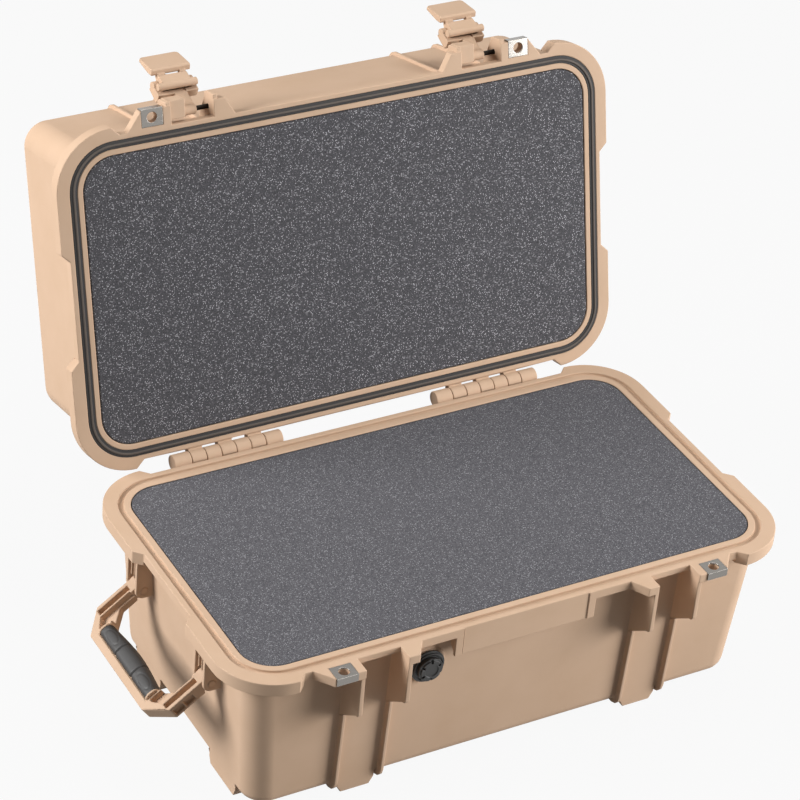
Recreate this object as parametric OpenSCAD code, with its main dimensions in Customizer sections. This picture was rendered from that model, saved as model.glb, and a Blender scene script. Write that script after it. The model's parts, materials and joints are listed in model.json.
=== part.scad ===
// Hard equipment case with a hinged lid, two throw latches and two end handles.
// Millimetres. The case stands on z = 0, its front faces -Y and the hinges are at +Y.
// Parts of the base and the lid are drawn from the rim plane, then put in place.

/* [Case body] */
// Inside width at the rim
inner_w = 471; // [440:1:520]
// Inside depth at the rim, front to back
inner_d = 251; // [235:1:290]
// Inside corner radius at the rim
inner_r = 28; // [24:1:32]
// Wall thickness
wall = 4.2; // [3.5:0.1:5]
// Outer corner radius of the walls
body_r = 21; // [18:0.5:24]
// Base height from the rim down to its underside
base_h = 148; // [135:1:165]
// Lid depth from its rim to its outer face
lid_h = 125; // [105:1:140]
// How far each end wall of the base leans in by the bottom
lean_side = 10.2; // [8:0.1:12]
// How far the front and rear walls of the base lean in by the bottom
lean_front = 7.2; // [5:0.1:9]
// How far each lid wall leans in by the outer face
lean_lid = 2; // [1:0.1:4]
// Rounding of the far edges of the base and lid
edge_r = 11; // [9:0.5:13]
// Foot height
foot_h = 7; // [5:0.5:10]
// Foot length at its underside
foot_len = 26; // [22:1:28]
// Foot depth, from the wall inward
foot_in = 26; // [20:1:32]
// How far a front foot stands out from the wall at the floor
foot_out = 0.4; // [0.2:0.1:0.5]
// Distance of the end feet from the middle of each end wall
foot_side_y = 71; // [66:1:74]
// Length of the end feet
foot_side_len = 48; // [36:1:50]

/* [Rim] */
// Reach of the narrow flange beyond the inside edge
flange_w = 15.8; // [14.5:0.1:17]
// Thickness of the narrow flange and its shelves
flange_t = 8.5; // [7.5:0.1:8.5]
// Thickness of the wide corner flanges
corner_t = 12; // [10:0.5:14]
// Reach of the wide corners beyond the inside edge
corner_w = 23; // [20:0.5:23]
// Half-width of the middle stretch without wide corners, front and rear
corner_x = 200; // [196:1:206]
// Half-width of the middle stretch without wide corners, at the ends
corner_y = 43; // [38:1:46]
// Gap between the closed rims
rim_gap = 0.5; // [0.4:0.1:0.8]
// Middle of the seal, out from the inside edge
seal_mid = 8.2; // [7.8:0.1:8.6]
// Width of the seal channel in the lid
seal_w = 6.6; // [6:0.1:7]
// Depth of the seal channel
seal_t = 3.5; // [3:0.1:4]
// Width of the seal's bead
bead_w = 2; // [1.6:0.1:2.4]
// Height of the seal's bead
bead_h = 1; // [0.8:0.1:1.4]
// Width of the groove in the base rim
groove_w = 4.6; // [4.2:0.1:5]
// Depth of the groove in the base rim
groove_t = 2.5; // [2:0.1:3]

/* [Hinge] */
// Hinge axis behind the inside edge
hinge_back = 24.3; // [24.3:0.1:25.5]
// Hinge axis below the base rim
hinge_drop = 1.8; // [1.6:0.1:2]
// Knuckle radius
knuckle_r = 7; // [6.6:0.1:7.2]
// Middle of each hinge from the middle of the case
hinge_x = 126; // [120:1:132]
// Length of the inner knuckles
knuckle_w = 13.5; // [12:0.5:14]
// Length of the end knuckles
end_knuckle_w = 16; // [14:0.5:18]
// Gap between knuckles
knuckle_gap = 0.4; // [0.35:0.05:0.6]
// Hinge pin radius
hinge_pin_r = 2.5; // [2.2:0.1:3]
// Thickness left at the closed ends of the pin hole
hinge_end = 3; // [2:0.5:4]
// Angle of the open lid
open_angle = 104; // [90:1:106]

/* [Latches and padlock bosses] */
// Middle of each latch from the middle of the case
latch_x = 135; // [132:1:138]
// Clear opening for a latch
latch_gap = 38; // [37.5:0.5:40]
// Latch width
latch_w = 36; // [34:0.5:36]
// Latch pivot in front of the flange
latch_out = 6.05; // [5.9:0.05:6.4]
// Latch pivot beyond the lid rim
latch_up = 12.5; // [12.4:0.1:12.7]
// Latch pivot pin radius
latch_pin_r = 2; // [1.8:0.1:2.2]
// Latch hub radius
latch_hub_r = 4.4; // [4:0.1:4.8]
// Lever pivot pin radius
lever_pin_r = 1.8; // [1.6:0.1:2]
// Lever hub radius
lever_hub_r = 4.4; // [4:0.1:4.6]
// Hook bar radius
hook_r = 3.2; // [2.8:0.1:3.2]
// Thickness of the base flange where a hook catches it
catch_t = 6; // [5:0.1:6]
// Thickness left at the closed ends of the lever and handle pin holes
pin_end = 1.2; // [1:0.1:1.6]
// Width of the latch arm's fork cheeks
fork_w = 5; // [4:0.5:6]
// Width of the latch arm's neck
neck_w = 11.5; // [9:0.5:14]
// Reach of the latch lug past the flange
lug_out = 19; // [14:0.5:19.5]
// Corner radius of the lever's pull plate
plate_round = 3.5; // [2:0.5:5]
// Width of the lever's inner post, on the side of the arm's neck that holds the lug
post_in_w = 7; // [5:0.5:8]
// Width of the lever's outer post
post_out_w = 5; // [4:0.5:6]
// Swing of the latch arm from closed to the open pose
arm_open = 145; // [135:1:146]
// Width of a padlock boss at the flange
boss_w = 39; // [36:1:40]
// Width lost by the padlock boss toward its front
boss_taper = 12; // [8:1:14]
// Reach of a padlock boss beyond the flange
boss_out = 15.7; // [14:0.1:17]
// Width of an ear at the flange
ear_w = 19; // [17:1:21]
// Width lost by the ear toward its front
ear_taper = 9; // [6:1:10]
// Gusset thickness
gusset_t = 4; // [3:0.1:4]
// Straight height of the base gussets
base_gusset = 49; // [42:1:54]
// Straight height of the lid gussets
lid_gusset = 18; // [16:1:24]
// Reach of the lid gussets past those of the base
lid_gusset_out = 4; // [0:0.5:4]
// Length of the gussets' slope
gusset_run = 17; // [12:1:20]
// How far the thin ribs stand out from the base wall
rib_out = 6; // [4.5:0.1:7]
// How far the thin ribs stand out from the lid wall
lid_rib_out = 2.8; // [2:0.1:4]
// Padlock hole radius
lock_r = 4.5; // [4:0.1:5]
// Guard plate width
guard_w = 19; // [18:0.5:22]
// Guard plate thickness
guard_t = 1.2; // [1:0.1:1.5]
// Guard plate lip height
guard_lip = 7; // [5:0.5:7.5]

/* [End handles] */
// Handle pivot out from the inside edge
pivot_out = 9.2; // [9:0.1:9.8]
// Handle pivot below the rim
pivot_drop = 47.5; // [46:0.5:52]
// Middle of each handle bracket from the middle of the end wall
bracket_y = 63.75; // [62:0.25:66]
// Clear width inside a bracket
bracket_gap = 13.5; // [12:0.5:14]
// Bracket cheek thickness
cheek_t = 3.5; // [3:0.1:4]
// Bracket cheek radius at the pivot
cheek_r = 7.3; // [6.8:0.1:7.5]
// Handle pin radius
handle_pin_r = 2.5; // [2.2:0.1:2.8]
// Handle hub radius
handle_hub_r = 6; // [5.6:0.1:6.2]
// Handle reach from its pivot to its outer edge
handle_reach = 56.5; // [53:0.5:60]
// Handle thickness at the arms
handle_t = 10.8; // [10:0.1:11]
// Depth of the handle arms below the pivot plane
handle_low = 7.5; // [6:0.1:7.5]
// Length of the handle's sloping shoulders
handle_slope = 18; // [14:0.5:20]
// Inner corner chamfer of the handle
handle_chamfer = 12; // [8:0.5:12]
// Start of the slot in a handle arm, from the pivot
slot_start = 8; // [7.5:0.5:12]
// Length of the slot in a handle arm
slot_len = 32; // [24:0.5:33]
// Width of the slot in a handle arm
slot_w = 5.2; // [4:0.1:6]
// Depth of the slot in a handle arm
slot_t = 6.5; // [5:0.1:8]
// Depth of the step in the handle's inner corners
step_t = 6; // [4:0.5:7]
// Length of the hollows in the sides of a handle arm
cell_len = 9; // [7:0.5:9.5]
// Height of the hollows in the sides of a handle arm
cell_h = 6.4; // [5:0.1:7]
// Grip length
grip_len = 90; // [80:1:90]
// Grip thickness
grip_t = 16; // [14:0.5:16]
// Angle of the left handle below level
handle_left_angle = 36; // [0:1:90]
// Angle of the right handle below level
handle_right_angle = 90; // [0:1:90]

/* [Valve and panel] */
// Valve middle from the middle of the case, toward the left
valve_x = 83; // [82:1:84]
// Valve middle below the rim
valve_drop = 38; // [36:1:42]
// Valve ring radius
valve_r = 15; // [13:0.5:15]
// Valve cap radius
valve_cap_r = 11; // [10:0.5:12]
// Valve thread radius
valve_stem_r = 8; // [7:0.1:8.5]
// Half-width of the panel below the front rim
panel_half = 65; // [55:1:65]
// Panel height below the rim
panel_drop = 27; // [22:1:30]
// Panel thickness
panel_t = 3; // [2.5:0.1:4]
// Width of the panel's end borders
panel_border = 7; // [5:0.5:10]

/* [Foam] */
// Thickness of the foam pad in the bottom
foam_pad_t = 25; // [15:1:35]
// Thickness of the lower foam layer
foam_lower_t = 54; // [45:1:60]
// Depth of the pockets in the back of the lid foam, from the lid's outer face
foam_core_t = 70; // [50:1:80]
// Foam left between the pockets
foam_rib = 22; // [18:1:30]

/* [Fit] */
// Clearance round a running pin
run_fit = 0.05; // [0.03:0.01:0.08]
// Clearance round a fixed pin
set_fit = 0.03; // [0.02:0.01:0.05]
// Side clearance of a moving piece
side_fit = 0.4; // [0.35:0.05:0.5]
// Clearance round the foam
foam_fit = 0.4; // [0.3:0.1:0.8]

// Piece to show

/* [Hidden] */
$fn = 48;
ring_t = 0.5;
edge_steps = 5;
tan_plastic = [0.80, 0.69, 0.54];
dark_foam = [0.28, 0.28, 0.31];
black_plastic = [0.08, 0.08, 0.09];
grip_rubber = [0.22, 0.22, 0.23];
bright_metal = [0.80, 0.81, 0.82];

hw = inner_w/2;
hd = inner_d/2;
rim_z = base_h + foot_h;
flange_x = hw + flange_w;
flange_y = hd + flange_w;
base_lean = [lean_side, lean_front];
lid_lean = [lean_lid, lean_lid];
hinge_y = hd + hinge_back;
hinge_z = -hinge_drop;
lid_hinge_z = hinge_z - rim_gap;
hinge_half = 2.5*knuckle_w + 3*knuckle_gap + end_knuckle_w;
// Latch opening, boss, ear and gusset places along the front
open_in = latch_x - latch_gap/2;
open_out = latch_x + latch_gap/2;
front_y = flange_y + boss_out;
gusset_y = front_y - 1;
gusset_round = 4.5;
// Latch pivots from the flange edge and the lid rim, in the closed pose
latch_y = -(flange_y + latch_out);
latch_in = latch_x - latch_w/2;
latch_outer = latch_x + latch_w/2;
lug_outer = latch_in + 13;
lever_off = [-1.1, -17.4 - latch_up];
lever_z = lever_off[1];
skin_y = lever_off[0] - lever_hub_r - side_fit;
hook_off = [6.4, -10.2 - latch_up];
arm_face = hook_off[0] - hook_r - 0.8;
plate_pts = [
    [5.3, lever_z - 6.2], [9.6, lever_z - 7.6], [10, lever_z - 9.6], [-0.1, lever_z - 31.5],
    [-2, lever_z - 32.3], [-2.7, lever_z - 30.5], [2.2, lever_z - 12.5]
];
// Guard place
guard_x = open_out + 17;
guard_back = flange_y + 1.7;
lock_y = flange_y + 9.4;
// Handle places
pivot_x = hw + pivot_out;
hub_w = bracket_gap - 2*side_fit;
arm_in = bracket_y - hub_w/2;
arm_out = bracket_y + hub_w/2;
grip_in = handle_reach - 20;
shell_in = handle_reach - 7;
core_t = 8;
rail_y = bracket_y - slot_w/2 - 2;
// Valve seat
valve_wall = hd + wall - lean_front*valve_drop/base_h;
valve_seat = valve_wall + 1.5;
valve_inside = valve_wall - wall - 1;
seal_thick = 1.2;
valve_ring_t = 3.4;
valve_cap_t = 4.6;
nut_t = 5;
nut_r = 12;
base_cavity = base_h - wall;
foam_pitch = [(inner_w - 2*lean_lid - 24)/3, (inner_d - 2*lean_lid - 24)/2];
lid_cavity = lid_h - wall;

module pair() {
    children();
    mirror([1, 0, 0]) children();
}

// The two latches are alike, so the left one is the right one moved along
module to_left() {
    translate([-2*latch_x, 0, 0]) children();
}

module latches() {
    children();
    to_left() children();
}

module at_rim() {
    translate([0, 0, rim_z]) children();
}

module at_lid() {
    translate([0, hinge_y, rim_z + hinge_z])
        rotate([-open_angle, 0, 0])
            translate([0, -hinge_y, -lid_hinge_z]) children();
}

module round_rect(w, d, r) {
    square([w - 2*r, d], center = true);
    square([w, d - 2*r], center = true);
    for (sx = [-1, 1], sy = [-1, 1])
        translate([sx*(w/2 - r), sy*(d/2 - r)]) circle(r);
}

// Outline of the body, grown from the inside edge, with corner radius r, at a part k of its lean
module body_plan(grow, r, k, lean) {
    round_rect(inner_w + 2*grow - 2*k*lean[0], inner_d + 2*grow - 2*k*lean[1], r);
}

// Leaning tub with a rounded far edge, from over the rim down
module tub(grow, r, depth, full, lean, edge, over) {
    hull() {
        translate([0, 0, -ring_t]) linear_extrude(ring_t + over) body_plan(grow, r, 0, lean);
        for (i = [0:edge_steps])
            translate([0, 0, -depth + edge*(1 - sin(90*i/edge_steps))])
                linear_extrude(ring_t)
                    body_plan(grow - edge*(1 - cos(90*i/edge_steps)), r - edge*(1 - cos(90*i/edge_steps)),
                        (depth - edge*(1 - sin(90*i/edge_steps)))/full, lean);
    }
}

module boss_plan() {
    polygon([
        [open_out, -flange_y + 3], [open_out + boss_w, -flange_y + 3], [open_out + boss_w, -flange_y],
        [open_out + boss_w - boss_taper, -front_y], [open_out, -front_y]
    ]);
}

module ear_plan() {
    polygon([
        [open_in, -flange_y + 3], [open_in - ear_w, -flange_y + 3], [open_in - ear_w, -flange_y],
        [open_in - ear_w + ear_taper, -front_y + 1], [open_in, -front_y + 1]
    ]);
}

module corner_plan() {
    far = 4*hw;
    difference() {
        round_rect(2*(hw + corner_w), 2*(hd + corner_w), inner_r + corner_w);
        square([2*corner_x, far], center = true);
        square([far, 2*corner_y], center = true);
        for (sx = [-1, 1], sy = [-1, 1])
            scale([sx, sy]) {
                polygon([[corner_x - 1, flange_y], [corner_x, flange_y],
                    [corner_x + far, flange_y + far], [corner_x - 1, flange_y + far]]);
                polygon([[flange_x, corner_y - 1], [flange_x, corner_y],
                    [flange_x + far, corner_y + far], [flange_x + far, corner_y - 1]]);
            }
    }
}

// Flange, wide corners, padlock bosses and ears below a rim plane
module rim_flange() {
    translate([0, 0, -flange_t]) linear_extrude(flange_t) {
        round_rect(2*flange_x, 2*flange_y, inner_r + flange_w);
        pair() {
            boss_plan();
            ear_plan();
        }
    }
    translate([0, 0, -corner_t]) linear_extrude(corner_t) corner_plan();
}

// Side-on outlines, in y and z, are stood up across x
module across(x0, w) {
    translate([x0, 0, 0]) rotate([90, 0, 90]) linear_extrude(w) children();
}

module gusset_plan(drop, reach) {
    polygon([
        [-hd, -1], [-reach, -1], [-reach, -drop + gusset_round],
        [-reach + gusset_round, -drop],
        [-hd - wall + 1, -drop - gusset_run], [-hd, -drop - gusset_run]
    ]);
    translate([-reach + gusset_round, -drop + gusset_round]) circle(gusset_round);
}

module rib_plan(full, lean, out) {
    top = hd + wall + out;
    polygon([
        [-hd + 20, -1], [-top, -1], [-top + lean[1], -full + edge_r - 2],
        [-top + lean[1] + 1.5, -full + 4], [-top + lean[1] + 5, -full],
        [-top + lean[1] + 10, -full - out/3], [-hd + 20, -full - out/3]
    ]);
}

module front_plates(drop, reach, full, lean, out) {
    pair()
        for (x = [open_out, open_in - gusset_t]) {
            across(x, gusset_t) gusset_plan(drop, reach);
            across(x + 0.4, gusset_t - 0.8) rib_plan(full, lean, out);
        }
}

// Pocket for a guard plate and the padlock hole through its boss
module lock_cut() {
    translate([guard_x - guard_w/2, -front_y - 1, -guard_t])
        cube([guard_w, front_y + 1 - guard_back, guard_t + 1]);
    translate([guard_x, -lock_y, -corner_t - 2]) cylinder(r = lock_r, h = corner_t + 4);
}

module guard_form() {
    difference() {
        union() {
            translate([guard_x - guard_w/2, -front_y, -guard_t])
                cube([guard_w, front_y - guard_back, guard_t]);
            translate([guard_x - guard_w/2, -front_y - guard_t, -guard_lip])
                cube([guard_w, guard_t, guard_lip]);
        }
        translate([guard_x, -lock_y, -guard_t - 1]) cylinder(r = lock_r, h = guard_t + 2);
    }
}

// Knuckles along one hinge: the odd places belong to the lid
function knuckle_at(i) =
    i == 0 ? -hinge_half : -2.5*knuckle_w - 2*knuckle_gap + (i - 1)*(knuckle_w + knuckle_gap);

module base_knuckles() {
    for (i = [0, 2, 4, 6])
        across(hinge_x + knuckle_at(i), i == 0 || i == 6 ? end_knuckle_w : knuckle_w) {
            translate([hinge_y, hinge_z]) circle(knuckle_r);
            polygon([
                [flange_y - 2, -flange_t + 0.5], [flange_y - 2, -0.8],
                [hinge_y - 6.2, hinge_z + 0.5], [hinge_y, hinge_z], [hinge_y, hinge_z - knuckle_r]
            ]);
        }
}

module lid_knuckles() {
    for (i = [1, 3, 5])
        across(hinge_x + knuckle_at(i), knuckle_w) {
            translate([hinge_y, lid_hinge_z]) circle(knuckle_r);
            polygon([
                [flange_y - 1.2, 1.1],
                [flange_y - 1.2, flange_t - 1], [hinge_y, lid_hinge_z + knuckle_r],
                [hinge_y, lid_hinge_z], [hinge_y - 6.2, lid_hinge_z + 1]
            ]);
        }
}

// Blind pin hole along one hinge
module hinge_bore(z, fit) {
    pair() translate([hinge_x, hinge_y, z])
        rotate([0, 90, 0])
            cylinder(r = hinge_pin_r + fit, h = 2*hinge_half - 2*hinge_end, center = true);
}

module front_feet() {
    for (sy = [-1, 1])
        scale([1, sy, 1])
            pair() translate([0, hd + wall - lean_front + foot_out, 0]) rotate([90, 0, 0])
                linear_extrude(foot_in)
                polygon([
                    [latch_x - foot_len/2 - 4, -base_h + 12], [latch_x - foot_len/2 - 4, -base_h],
                    [latch_x - foot_len/2, -rim_z], [latch_x + foot_len/2, -rim_z],
                    [latch_x + foot_len/2 + 4, -base_h], [latch_x + foot_len/2 + 4, -base_h + 12]
                ]);
}

module side_feet() {
    for (sy = [-1, 1])
        scale([1, sy, 1])
            pair() translate([hw + wall - lean_side - foot_in, 0, 0])
                across(0, foot_in)
                    polygon([
                        [foot_side_y - foot_side_len/2, -base_h + 12],
                        [foot_side_y - foot_side_len/2, -base_h],
                        [foot_side_y - foot_side_len/2 + 3, -rim_z],
                        [foot_side_y + foot_side_len/2 - 3, -rim_z],
                        [foot_side_y + foot_side_len/2, -base_h],
                        [foot_side_y + foot_side_len/2, -base_h + 12]
                    ]);
}

module bracket_plan(out, low) {
    polygon([
        [hw - 6, -flange_t + 1], [pivot_x + out, -flange_t + 1], [pivot_x + out, low],
        [pivot_x, low - (out == cheek_r ? cheek_r : 0)], [hw - 6, low - cheek_r]
    ]);
}

// Cheeks and stiffeners of the handle brackets at one end of the case
module brackets() {
    for (sy = [-1, 1])
        scale([1, sy, 1]) {
            for (y = [bracket_y - bracket_gap/2 - cheek_t, bracket_y + bracket_gap/2])
                translate([0, y + cheek_t, 0]) rotate([90, 0, 0]) linear_extrude(cheek_t) {
                    bracket_plan(cheek_r, -pivot_drop);
                    translate([pivot_x, -pivot_drop]) circle(cheek_r);
                }
            for (y = [bracket_y - bracket_gap/2 - cheek_t - 0.6, bracket_y + bracket_gap/2 + cheek_t - 1])
                translate([pivot_x, y + 1.6, -pivot_drop]) rotate([90, 0, 0])
                    cylinder(r = handle_pin_r + 1, h = 1.6);
            for (y = [bracket_y - 3.5, bracket_y + 2])
                translate([0, y + 1.5, 0]) rotate([90, 0, 0]) linear_extrude(1.5)
                    polygon([
                        [hw - 6, -flange_t + 1], [pivot_x + cheek_r - 1, -flange_t + 1],
                        [pivot_x + cheek_r - 1, -pivot_drop + handle_hub_r + 4],
                        [hw - 6, -pivot_drop + handle_hub_r + 4]
                    ]);
        }
}

module handle_pin_form(grow) {
    for (sy = [-1, 1])
        translate([pivot_x, sy*bracket_y, -pivot_drop]) rotate([90, 0, 0])
            cylinder(r = handle_pin_r + grow, h = bracket_gap + 2*cheek_t - 2*pin_end - 0.2, center = true);
}

module front_panel() {
    translate([-panel_half, -flange_y, -panel_drop]) cube([2*panel_half, panel_t, panel_drop - 1]);
    pair() across(panel_half - panel_t, panel_t)
        polygon([
            [-flange_y, -1], [-flange_y, -panel_drop],
            [-hd - wall + 1, -flange_t - 6], [-hd, -1]
        ]);
}

// Shallow face between the panel's end borders
module panel_recess() {
    translate([-panel_half + panel_border, -flange_y - 1, -panel_drop - 1])
        cube([2*(panel_half - panel_border), 1.8, panel_drop + 2]);
}

module on_front(y) {
    translate([-valve_x, -y, -valve_drop]) rotate([90, 0, 0]) children();
}

module base_shell() {
    color(tan_plastic) at_rim() difference() {
        union() {
            tub(wall, body_r, base_h, base_h, base_lean, edge_r, 0);
            rim_flange();
            front_plates(base_gusset, gusset_y, base_h, base_lean, rib_out);
            pair() base_knuckles();
            front_feet();
            side_feet();
            pair() brackets();
            front_panel();
            on_front(valve_wall - wall) cylinder(r = valve_r + 2, h = valve_seat - valve_wall + wall);
        }
        tub(0, inner_r, base_cavity, base_h, base_lean, edge_r - 3, 1);
        translate([0, 0, -groove_t]) linear_extrude(groove_t + 1) seal_plan(groove_w);
        pair() lock_cut();
        pair() translate([open_in, -flange_y - 1, -flange_t - 1])
            cube([latch_gap, flange_w - wall + 1, flange_t + 1 - catch_t]);
        panel_recess();
        hinge_bore(hinge_z, set_fit);
        pair() handle_pin_cut();
        on_front(valve_inside - 2)
            cylinder(r = valve_stem_r + set_fit, h = valve_seat - valve_inside + 4);
        on_front(valve_inside - 4) cylinder(r = nut_r + 2, h = 4);
    }
}

module handle_pin_cut() {
    for (sy = [-1, 1])
        translate([pivot_x, sy*bracket_y, -pivot_drop]) rotate([90, 0, 0])
            cylinder(r = handle_pin_r + set_fit, h = bracket_gap + 2*cheek_t - 2*pin_end, center = true);
}

module seal_plan(w) {
    difference() {
        round_rect(inner_w + 2*seal_mid + w, inner_d + 2*seal_mid + w, inner_r + seal_mid + w/2);
        round_rect(inner_w + 2*seal_mid - w, inner_d + 2*seal_mid - w, inner_r + seal_mid - w/2);
    }
}

module lid_shell() {
    color(tan_plastic) at_lid() difference() {
        union() {
            mirror([0, 0, 1]) {
                tub(wall, body_r, lid_h, lid_h, lid_lean, edge_r, 0);
                rim_flange();
                front_plates(lid_gusset, gusset_y + lid_gusset_out, lid_h, lid_lean, lid_rib_out);
            }
            pair() lid_knuckles();
            latches() latch_lug();
        }
        mirror([0, 0, 1]) {
            tub(0, inner_r, lid_cavity, lid_h, lid_lean, edge_r - 3, 1);
            pair() lock_cut();
        }
        translate([0, 0, -1]) linear_extrude(seal_t + 1) seal_plan(seal_w);
        hinge_bore(lid_hinge_z, run_fit);
        pair() translate([open_in - gusset_t - 1, latch_y, latch_up]) rotate([0, 90, 0])
            cylinder(r = latch_pin_r + set_fit, h = latch_gap + 2*gusset_t + 2);
    }
}

module latch_lug() {
    across(open_in - 1, lug_outer - open_in + 1)
        polygon([
            [-flange_y - 3, 3.5], [-flange_y - lug_out, 3.5],
            [-flange_y - lug_out, latch_up + 3.5], [-flange_y - 3, latch_up + 3.5]
        ]);
}

module lid_gasket() {
    color(black_plastic) at_lid() {
        translate([0, 0, 0]) linear_extrude(seal_t) seal_plan(seal_w);
        translate([0, 0, -bead_h]) linear_extrude(bead_h + 1) seal_plan(bead_w);
    }
}

// One layer of the foam in the base, between two depths below the rim
module base_foam(top, low) {
    color(dark_foam) at_rim() difference() {
        intersection() {
            tub(-foam_fit, inner_r - foam_fit, base_cavity - foam_fit, base_h, base_lean, edge_r - 3, 0);
            translate([-inner_w, -inner_d, -low]) cube([2*inner_w, 2*inner_d, low - top]);
        }
        on_front(valve_inside - 7) cylinder(r = nut_r + 3, h = 30);
    }
}

module base_foam_pad() {
    base_foam(base_cavity - foam_pad_t, base_h);
}

module base_foam_lower() {
    base_foam(base_cavity - foam_pad_t - foam_lower_t, base_cavity - foam_pad_t);
}

module base_foam_upper() {
    base_foam(foam_fit, base_cavity - foam_pad_t - foam_lower_t);
}

// Foam block in the lid, with pockets in its hidden back
module lid_foam() {
    color(dark_foam) at_lid() mirror([0, 0, 1]) difference() {
        translate([0, 0, -foam_fit])
            tub(-foam_fit, inner_r - foam_fit, lid_cavity - 2*foam_fit, lid_h, lid_lean, edge_r - 3, 0);
        for (x = [-1, 0, 1], y = [-0.5, 0.5])
            translate([x*foam_pitch[0], y*foam_pitch[1], -lid_h + foam_core_t/2 - 1])
                cube([foam_pitch[0] - foam_rib, foam_pitch[1] - foam_rib, foam_core_t + 2], center = true);
    }
}

module hinge_pin_form(side) {
    color(bright_metal) at_rim()
        translate([side*hinge_x, hinge_y, hinge_z]) rotate([0, 90, 0])
            cylinder(r = hinge_pin_r, h = 2*hinge_half - 2*hinge_end - 0.4, center = true);
}

module hinge_pin_left() {
    hinge_pin_form(-1);
}

module hinge_pin_right() {
    hinge_pin_form(1);
}

// Latch pieces hang from the lid's pivot in the closed pose and swing out to the open one
module at_latch() {
    at_lid() translate([0, latch_y, latch_up]) rotate([-arm_open, 0, 0]) children();
}

module arm_form() {
    difference() {
        union() {
            across(lug_outer + 1, neck_w) {
                circle(latch_hub_r);
                polygon([[-4, 0], [arm_face, 0], [arm_face, lever_z + 9.4], [-5.5, lever_z + 9.4]]);
            }
            across(latch_in, latch_w) {
                polygon([
                    [-5.5, lever_z + 12.9], [arm_face, lever_z + 12.9], [arm_face, lever_z + 9.4],
                    [-1, lever_z + 6.4], [skin_y, lever_z + 6.4]
                ]);
                polygon([
                    [skin_y - 2, lever_z + 11.4], [-5, lever_z + 11.4], [-5, lever_z + 6.9],
                    [skin_y, lever_z + 6.4], [skin_y, lever_z - 3.6], [skin_y - 1.5, lever_z - 3.1]
                ]);
            }
            for (x = [latch_in, latch_outer - fork_w])
                across(x, fork_w) {
                    polygon([
                        [-5.5, lever_z + 12.9], [arm_face, lever_z + 12.9], [arm_face, lever_z + 9.4],
                        lever_off + [2, 0], lever_off + [-lever_hub_r, -2],
                        [skin_y - 0.5, lever_z - 1.6], [skin_y - 0.5, lever_z + 7.4]
                    ]);
                    translate(lever_off) circle(lever_hub_r);
                }
        }
        translate([lug_outer, 0, 0]) rotate([0, 90, 0])
            cylinder(r = latch_pin_r + run_fit, h = latch_w);
        translate([latch_in + pin_end, lever_off[0], lever_off[1]]) rotate([0, 90, 0])
            cylinder(r = lever_pin_r + set_fit, h = latch_w - 2*pin_end);
        translate([0, arm_face + 1, 0]) rotate([90, 0, 0]) linear_extrude(arm_face + 5)
            polygon([
                [lug_outer + neck_w - 5, lever_z + 5], [lug_outer + neck_w, lever_z + 5],
                [lug_outer + neck_w, lever_z + 12]
            ]);
    }
}

// Outline of a lever's pull plate, seen from the front
module plate_plan() {
    translate([latch_in + latch_w/2, lever_z - 11.5]) round_rect(latch_w - 1, 40, plate_round);
}

module lever_form() {
    bay_in = latch_in + fork_w + side_fit;
    bay_w = latch_w - 2*fork_w - 2*side_fit;
    difference() {
        union() {
            across(bay_in, bay_w) translate(lever_off) circle(lever_hub_r);
            across(latch_in + 0.5, latch_w - 1) translate(hook_off) circle(hook_r);
            intersection() {
                across(latch_in, latch_w) polygon(plate_pts);
                translate([0, 20, 0]) rotate([90, 0, 0]) linear_extrude(40) plate_plan();
            }
            across(bay_in, bay_w)
                polygon([
                    lever_off + [0, 3],
                    hook_off + [-2, 1], hook_off + [2.9, -1], [7.6, lever_z - 3.8], [5.4, lever_z - 4.4],
                    lever_off + [2, -2]
                ]);
            for (post = [[bay_in, post_in_w], [bay_in + bay_w - post_out_w, post_out_w]])
                across(post[0], post[1])
                    polygon([
                        lever_off + [-1.5, -3.5], lever_off + [1, 3.5],
                        hook_off + [-1.5, 1], hook_off + [2.2, -1],
                        [7, lever_z - 3.6], [7, lever_z - 8.6], [4.5, lever_z - 10.6]
                    ]);
        }
        translate([latch_in - 1, lever_off[0], lever_off[1]]) rotate([0, 90, 0])
            cylinder(r = lever_pin_r + run_fit, h = latch_w + 2);
    }
}

module latch_pin_form() {
    translate([open_in - gusset_t, latch_y, latch_up]) rotate([0, 90, 0])
        cylinder(r = latch_pin_r, h = latch_gap + 2*gusset_t);
}

module lever_pin_form() {
    translate([latch_in + pin_end + 0.1, lever_off[0], lever_off[1]]) rotate([0, 90, 0])
        cylinder(r = lever_pin_r, h = latch_w - 2*pin_end - 0.2);
}

module latch_arm_left() {
    color(tan_plastic) at_latch() to_left() arm_form();
}

module latch_arm_right() {
    color(tan_plastic) at_latch() arm_form();
}

module latch_lever_left() {
    color(tan_plastic) at_latch() to_left() lever_form();
}

module latch_lever_right() {
    color(tan_plastic) at_latch() lever_form();
}

module latch_pin_left() {
    color(bright_metal) at_lid() mirror([1, 0, 0]) latch_pin_form();
}

module latch_pin_right() {
    color(bright_metal) at_lid() latch_pin_form();
}

module lever_pin_left() {
    color(bright_metal) at_latch() to_left() lever_pin_form();
}

module lever_pin_right() {
    color(bright_metal) at_latch() lever_pin_form();
}

module base_guard_left() {
    color(bright_metal) at_rim() mirror([1, 0, 0]) guard_form();
}

module base_guard_right() {
    color(bright_metal) at_rim() guard_form();
}

module lid_guard_left() {
    color(bright_metal) at_lid() mirror([0, 0, 1]) mirror([1, 0, 0]) guard_form();
}

module lid_guard_right() {
    color(bright_metal) at_lid() mirror([0, 0, 1]) guard_form();
}

// A handle lies level, reaching out along x from its pivot, then is turned down
module at_handle(angle) {
    at_rim() translate([pivot_x, 0, -pivot_drop]) rotate([0, angle, 0]) children();
}

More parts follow.
